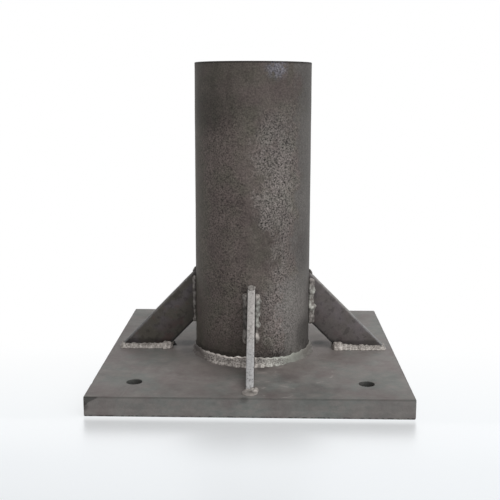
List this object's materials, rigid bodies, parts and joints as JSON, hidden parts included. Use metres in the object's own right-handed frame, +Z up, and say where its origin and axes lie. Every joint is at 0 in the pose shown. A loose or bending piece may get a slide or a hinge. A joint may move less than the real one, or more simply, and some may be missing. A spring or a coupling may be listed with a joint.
{
  "type": "weld-on post base plate",
  "caption": "Square steel base plate with an upright round tube stub, braced by flat-bar gussets, all joined by hand-laid fillet welds; anchor holes at the corners.",
  "frame": {"origin": "centre of the plate's underside, where it rests on its foundation", "axes": "+Z up along the post, -Y the front, +X to the right seen from the front"},
  "size_m": [0.254, 0.254, 0.271],
  "materials": {
    "plate_steel": "hot-rolled, mill scale, matt",
    "tube_steel": "mill scale with fine pitting, matt",
    "gusset_steel": "hot-rolled flat bar, mill scale, matt",
    "weld_metal": "as-welded, grainy"
  },
  "bodies": {
    "root": {"base_plate": "plate_steel", "post_tube": "tube_steel", "ring_weld": "weld_metal", "gusset_right": "gusset_steel", "tip_weld_right": "weld_metal", "upright_weld_right_front": "weld_metal", "upright_weld_right_back": "weld_metal", "foot_weld_right_front": "weld_metal", "foot_weld_right_back": "weld_metal", "gusset_back": "gusset_steel", "tip_weld_back": "weld_metal", "upright_weld_back_right": "weld_metal", "upright_weld_back_left": "weld_metal", "toe_weld_back": "weld_metal", "gusset_left": "gusset_steel", "tip_weld_left": "weld_metal", "upright_weld_left_back": "weld_metal", "upright_weld_left_front": "weld_metal", "foot_weld_left_back": "weld_metal", "foot_weld_left_front": "weld_metal", "gusset_front": "gusset_steel", "tip_weld_front": "weld_metal", "upright_weld_front_left": "weld_metal", "upright_weld_front_right": "weld_metal", "toe_weld_front": "weld_metal"}
  },
  "joints": []
}
